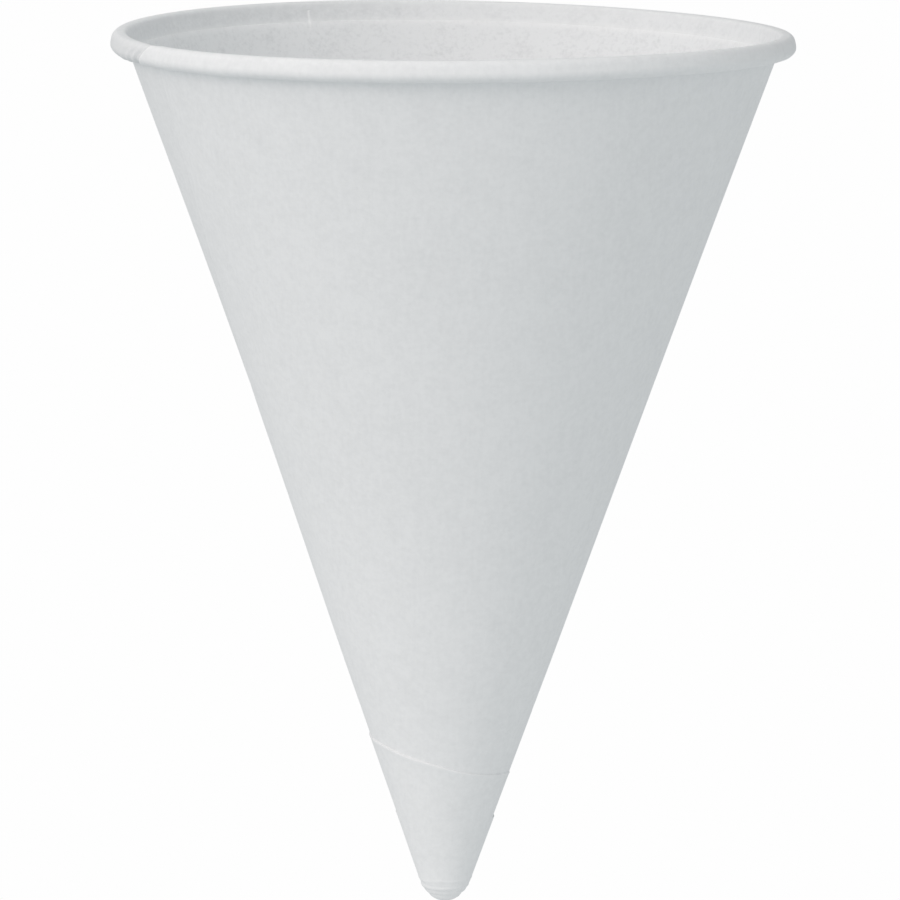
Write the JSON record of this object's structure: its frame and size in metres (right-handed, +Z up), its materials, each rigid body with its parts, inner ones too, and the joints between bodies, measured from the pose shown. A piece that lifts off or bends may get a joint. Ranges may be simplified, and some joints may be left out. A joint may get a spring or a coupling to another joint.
{
  "type": "cone paper cup",
  "caption": "White paper drinking cup wound into a cone, with a rolled rim, a lapped seam, a wrapped blunt tip and a crease under the mouth.",
  "frame": {"origin": "centre of the circle on which the rolled rim stands, with the cup mouth down", "axes": "+Z runs up the cup's axis from the mouth to the tip; -Y is the front; the seam meets the rim 21 degrees in front of +X"},
  "size_m": [0.0728, 0.073, 0.095],
  "materials": {
    "paper": "uncoated white paper, faintly blue, matt"
  },
  "bodies": {
    "root": {"cone_cup": "paper"}
  },
  "joints": []
}
